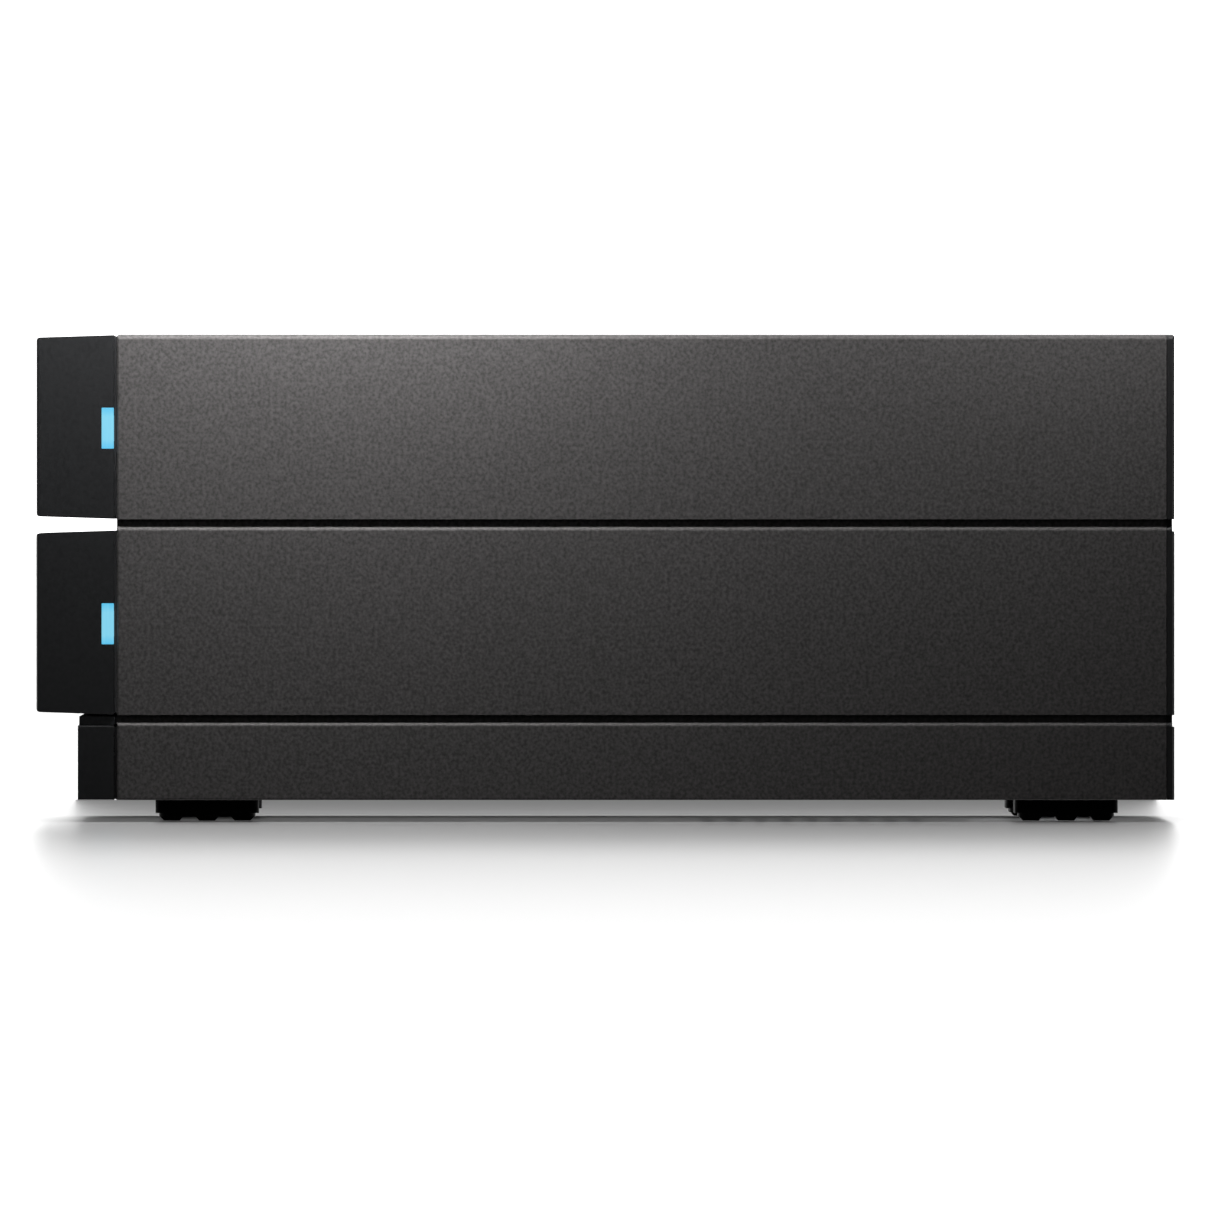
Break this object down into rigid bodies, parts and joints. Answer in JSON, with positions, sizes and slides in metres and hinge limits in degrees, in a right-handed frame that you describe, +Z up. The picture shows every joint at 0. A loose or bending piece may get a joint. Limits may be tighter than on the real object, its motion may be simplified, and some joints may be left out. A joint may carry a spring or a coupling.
{
  "type": "network attached storage",
  "caption": "Desktop network storage box with sliding hard-drive trays stacked in an aluminium shell, a rear fan and network ports.",
  "frame": {"origin": "centre of the footprint, on the desk, under the feet", "axes": "the front with the drive bezels faces -Y, +Y runs front to back along the longest side, +Z is up, +X is to the right seen from the front"},
  "size_m": [0.118, 0.217, 0.0928],
  "materials": {
    "anodised_shell": "bead-blasted dark grey anodised",
    "black_plastic": "fine satin black",
    "black_steel": "black powder coat",
    "blue_light": "lit sky-blue light guide",
    "chip": "moulded epoxy",
    "circuit_board": "green solder mask",
    "connector_plastic": "moulded black",
    "drive_casting": "die cast",
    "drive_cover": "stamped, satin",
    "fan_plastic": "moulded black",
    "heat_sink": "dark anodised",
    "light_ring": "frosted",
    "port_metal": "nickel-plated sheet",
    "rubber": "matt",
    "screw_steel": "nickel plated",
    "tray_plastic": "moulded black",
    "zinc_steel": "zinc plated"
  },
  "bodies": {
    "enclosure": {"backplane_board": "circuit_board", "base_plate": "black_steel", "bay_divider": "zinc_steel", "bay_floor": "black_plastic", "button_light_ring": "light_ring", "drive_socket_lower": "connector_plastic", "drive_socket_upper": "connector_plastic", "enclosure_shell": "anodised_shell", "ethernet_jack_1": "port_metal", "ethernet_jack_2": "port_metal", "fan_frame": "fan_plastic", "fan_screw_bottom_left": "screw_steel", "fan_screw_bottom_right": "screw_steel", "fan_screw_top_left": "screw_steel", "fan_screw_top_right": "screw_steel", "foot_front_left": "rubber", "foot_front_right": "rubber", "foot_rear_left": "rubber", "foot_rear_right": "rubber", "front_panel": "black_plastic", "front_usb_port": "port_metal", "heat_sink": "heat_sink", "main_board": "circuit_board", "panel_screw_bottom_left": "screw_steel", "panel_screw_bottom_right": "screw_steel", "panel_screw_top_left": "screw_steel", "panel_screw_top_right": "screw_steel", "power_inlet": "connector_plastic", "power_switch": "chip", "processor": "chip", "rear_panel": "black_steel", "rear_usb_port": "port_metal", "side_guide_left": "tray_plastic", "side_guide_right": "tray_plastic"},
    "tray_upper": {"bezel_upper": "black_plastic", "light_pipe_upper": "blue_light", "tray_upper": "tray_plastic", "drive_body_upper": "drive_casting", "drive_cover_upper": "drive_cover", "drive_board_upper": "circuit_board", "drive_screw_upper_left_1": "screw_steel", "drive_screw_upper_left_2": "screw_steel", "drive_screw_upper_right_1": "screw_steel", "drive_screw_upper_right_2": "screw_steel"},
    "lock_upper": {"lock_barrel_upper": "zinc_steel", "lock_cam_upper": "zinc_steel"},
    "tray_lower": {"bezel_lower": "black_plastic", "light_pipe_lower": "blue_light", "tray_lower": "tray_plastic", "drive_body_lower": "drive_casting", "drive_cover_lower": "drive_cover", "drive_board_lower": "circuit_board", "drive_screw_lower_left_1": "screw_steel", "drive_screw_lower_left_2": "screw_steel", "drive_screw_lower_right_1": "screw_steel", "drive_screw_lower_right_2": "screw_steel"},
    "lock_lower": {"lock_barrel_lower": "zinc_steel", "lock_cam_lower": "zinc_steel"},
    "fan_rotor": {"fan_rotor": "fan_plastic"},
    "power_button": {"power_button": "black_plastic"}
  },
  "joints": [
    {"name": "tray_upper_slide", "type": "slide", "parent": "enclosure", "child": "tray_upper", "axis": [0, -1, 0], "range_m": [0, 0.165]},
    {"name": "lock_upper_turn", "type": "hinge", "parent": "tray_upper", "child": "lock_upper", "pos_m": [-0.0465, -0.1, 0.0749], "axis": [0, -1, 0], "range_deg": [0, 90]},
    {"name": "tray_lower_slide", "type": "slide", "parent": "enclosure", "child": "tray_lower", "axis": [0, -1, 0], "range_m": [0, 0.165]},
    {"name": "lock_lower_turn", "type": "hinge", "parent": "tray_lower", "child": "lock_lower", "pos_m": [-0.0465, -0.1, 0.0376], "axis": [0, -1, 0], "range_deg": [0, 90]},
    {"name": "fan_spin", "type": "hinge", "parent": "enclosure", "child": "fan_rotor", "pos_m": [0, 0.0969, 0.0565], "axis": [0, 1, 0], "continuous": true},
    {"name": "power_button_press", "type": "slide", "parent": "enclosure", "child": "power_button", "axis": [0, 1, 0], "range_m": [0, 0.001], "stiffness_N_per_m": 800}
  ]
}
